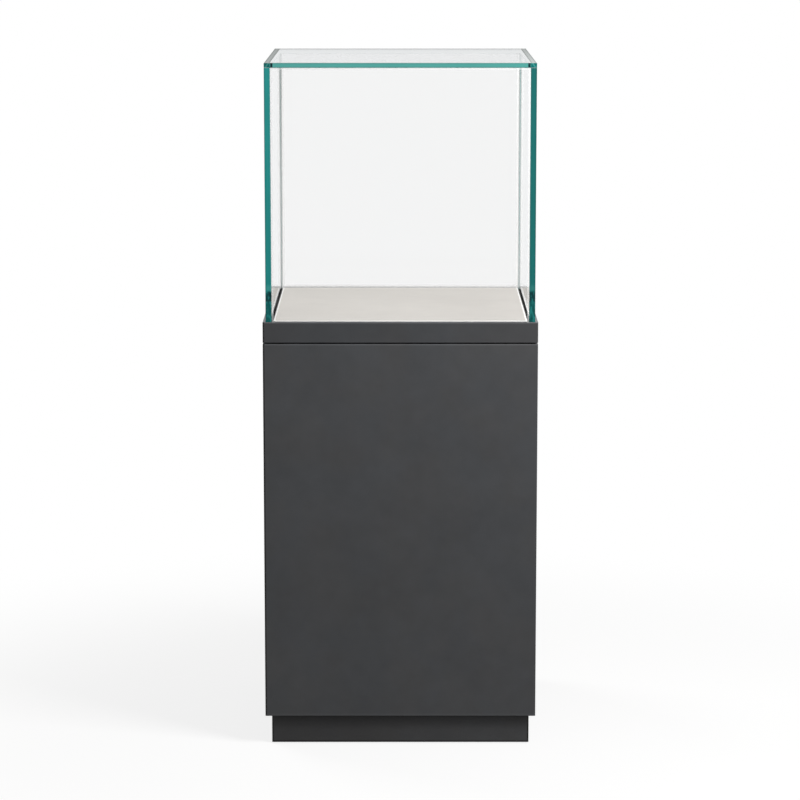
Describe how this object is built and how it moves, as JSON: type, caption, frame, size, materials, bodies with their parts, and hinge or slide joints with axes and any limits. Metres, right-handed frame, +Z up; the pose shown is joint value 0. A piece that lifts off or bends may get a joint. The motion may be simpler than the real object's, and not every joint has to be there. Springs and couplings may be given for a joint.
{
  "type": "pedestal display case",
  "caption": "Free-standing square pedestal with a recessed base, collar and display deck under a lift-off all-glass hood, with a rear drawer and access door.",
  "frame": {"origin": "on the floor at the centre of the footprint, between the four feet", "axes": "+Z up; the front faces -Y; the drawer and the access door are on the rear, +Y"},
  "size_m": [0.6, 0.6, 1.511],
  "materials": {
    "painted_board": "satin graphite lacquer on board",
    "painted_base": "satin dark graphite lacquer on board",
    "plain_board": "plain sealed board, inside",
    "collar_metal": "powder-coated graphite, satin",
    "deck_sheet": "matt warm light grey laminate",
    "glass": "clear float glass with teal polished edges",
    "steel": "brushed stainless steel",
    "zinc": "bright zinc plating",
    "brass": "turned brass",
    "rubber": "black closed-cell seal",
    "black_plastic": "black moulded nylon"
  },
  "bodies": {
    "case": {"base_front": "painted_base", "base_right": "painted_base", "base_rear": "painted_base", "base_left": "painted_base", "foot_blocks": "plain_board", "front_panel": "painted_board", "right_panel": "painted_board", "rear_panel": "painted_board", "left_panel": "painted_board", "bottom_panel": "plain_board", "top_panel": "plain_board", "drawer_shelf": "plain_board", "corner_battens": "plain_board", "drawer_cheeks": "plain_board", "door_stops": "plain_board", "panel_screws": "zinc", "collar_bolts": "zinc", "collar_nuts": "zinc", "collar_front": "collar_metal", "collar_right": "collar_metal", "collar_rear": "collar_metal", "collar_left": "collar_metal", "collar_cleats": "steel", "cleat_screws": "zinc", "collar_seal": "rubber", "hood_gasket": "rubber", "lock_sleeve_right": "brass", "lock_sleeve_left": "brass", "drawer_runners": "zinc", "door_pivot_pins": "steel"},
    "hood": {"glass_front": "glass", "glass_right": "glass", "glass_rear": "glass", "glass_left": "glass", "glass_top": "glass", "hood_frame": "steel", "striker_right": "steel", "striker_left": "steel"},
    "deck": {"deck_board": "plain_board", "deck_facing": "deck_sheet"},
    "hood_lock_right": {"lock_shaft_right": "steel"},
    "hood_lock_left": {"lock_shaft_left": "steel"},
    "drawer": {"drawer_front": "painted_board", "drawer_tray": "steel", "drawer_slides": "zinc", "drawer_lock_body": "zinc"},
    "drawer_lock": {"drawer_lock_cam": "steel"},
    "door": {"access_door": "painted_board", "door_bushes": "black_plastic", "door_lock_body": "zinc"},
    "door_lock": {"door_lock_cam": "steel"},
    "pad_front_left": {"foot_pad_front_left": "black_plastic"},
    "stud_front_left": {"foot_stud_front_left": "zinc"},
    "pad_front_right": {"foot_pad_front_right": "black_plastic"},
    "stud_front_right": {"foot_stud_front_right": "zinc"},
    "pad_rear_right": {"foot_pad_rear_right": "black_plastic"},
    "stud_rear_right": {"foot_stud_rear_right": "zinc"},
    "pad_rear_left": {"foot_pad_rear_left": "black_plastic"},
    "stud_rear_left": {"foot_stud_rear_left": "zinc"}
  },
  "joints": [
    {"name": "hood_lift", "type": "slide", "parent": "case", "child": "hood", "axis": [0, 0, 1], "range_m": [0, 0.6]},
    {"name": "deck_lift", "type": "slide", "parent": "case", "child": "deck", "axis": [0, 0, 1], "range_m": [0, 0.1]},
    {"name": "hood_lock_right_turn", "type": "hinge", "parent": "case", "child": "hood_lock_right", "pos_m": [0.3, 0, 0.915], "axis": [-1, 0, 0], "range_deg": [0, 90]},
    {"name": "hood_lock_left_turn", "type": "hinge", "parent": "case", "child": "hood_lock_left", "pos_m": [-0.3, 0, 0.915], "axis": [1, 0, 0], "range_deg": [0, 90]},
    {"name": "drawer_slide", "type": "slide", "parent": "case", "child": "drawer", "axis": [0, 1, 0], "range_m": [0, 0.3]},
    {"name": "drawer_lock_turn", "type": "hinge", "parent": "drawer", "child": "drawer_lock", "pos_m": [0, 0.3, 0.836], "axis": [0, -1, 0], "range_deg": [0, 90]},
    {"name": "door_hinge", "type": "hinge", "parent": "case", "child": "door", "pos_m": [-0.232, 0.294, 0.126], "axis": [0, 0, 1], "range_deg": [0, 110]},
    {"name": "door_lock_turn", "type": "hinge", "parent": "door", "child": "door_lock", "pos_m": [0.22, 0.3, 0.415], "axis": [0, -1, 0], "range_deg": [0, 90]},
    {"name": "foot_travel_front_left", "type": "slide", "parent": "case", "child": "pad_front_left", "axis": [0, 0, -1], "range_m": [0, 0.015]},
    {"name": "foot_turn_front_left", "type": "hinge", "parent": "pad_front_left", "child": "stud_front_left", "pos_m": [-0.24, -0.24, 0.03], "axis": [0, 0, -1], "range_deg": [0, 3700]},
    {"name": "foot_travel_front_right", "type": "slide", "parent": "case", "child": "pad_front_right", "axis": [0, 0, -1], "range_m": [0, 0.015]},
    {"name": "foot_turn_front_right", "type": "hinge", "parent": "pad_front_right", "child": "stud_front_right", "pos_m": [0.24, -0.24, 0.03], "axis": [0, 0, -1], "range_deg": [0, 3700]},
    {"name": "foot_travel_rear_right", "type": "slide", "parent": "case", "child": "pad_rear_right", "axis": [0, 0, -1], "range_m": [0, 0.015]},
    {"name": "foot_turn_rear_right", "type": "hinge", "parent": "pad_rear_right", "child": "stud_rear_right", "pos_m": [0.24, 0.24, 0.03], "axis": [0, 0, -1], "range_deg": [0, 3700]},
    {"name": "foot_travel_rear_left", "type": "slide", "parent": "case", "child": "pad_rear_left", "axis": [0, 0, -1], "range_m": [0, 0.015]},
    {"name": "foot_turn_rear_left", "type": "hinge", "parent": "pad_rear_left", "child": "stud_rear_left", "pos_m": [-0.24, 0.24, 0.03], "axis": [0, 0, -1], "range_deg": [0, 3700]}
  ],
  "couplings": [
    {"joint": "foot_turn_front_left", "follows": "foot_travel_front_left", "rad_per_m": 4188.8},
    {"joint": "foot_turn_front_right", "follows": "foot_travel_front_right", "rad_per_m": 4188.8},
    {"joint": "foot_turn_rear_right", "follows": "foot_travel_rear_right", "rad_per_m": 4188.8},
    {"joint": "foot_turn_rear_left", "follows": "foot_travel_rear_left", "rad_per_m": 4188.8}
  ]
}
